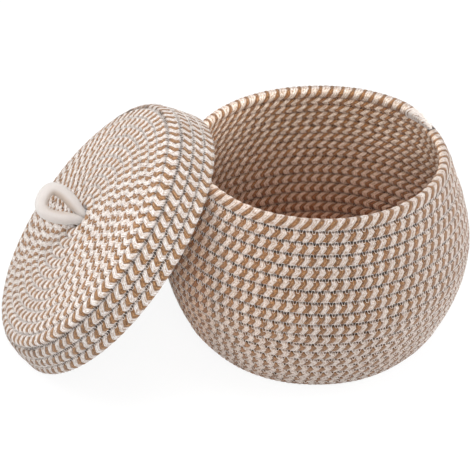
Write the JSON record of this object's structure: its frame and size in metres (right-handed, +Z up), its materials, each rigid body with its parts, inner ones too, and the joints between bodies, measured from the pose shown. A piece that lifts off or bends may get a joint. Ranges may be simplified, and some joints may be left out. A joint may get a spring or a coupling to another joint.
{
  "type": "knitting basket",
  "caption": "Pot-bellied knitting basket of coiled braided rope, with its lid taken off and leaning on the rim; the lid has a soft loop handle.",
  "frame": {"origin": "middle of the basket's flat underside, on the floor", "axes": "+Z up along the basket's axis; the lid stands on the floor on the -X side and leans towards +X on the basket's rim; -Y faces the viewer"},
  "size_m": [0.4549, 0.3031, 0.2281],
  "materials": {
    "two_tone_rope": "matt braided cotton rope, cream and tan strands",
    "tack_thread": "matt cream thread",
    "handle_cord": "soft brushed cream cotton cord"
  },
  "bodies": {
    "basket": {"base_coil": "two_tone_rope", "lower_wall_coil": "two_tone_rope", "upper_wall_coil": "two_tone_rope", "rim_end_tack": "tack_thread"},
    "lid": {"lid_top_coil": "two_tone_rope", "lid_skirt_coil": "two_tone_rope", "lid_end_tack": "tack_thread", "handle_loop": "handle_cord"}
  },
  "joints": [
    {"name": "lid_lift", "type": "slide", "parent": "basket", "child": "lid", "axis": [-0.757, -0.0742, 0.6492], "range_m": [0, 0.2]}
  ]
}
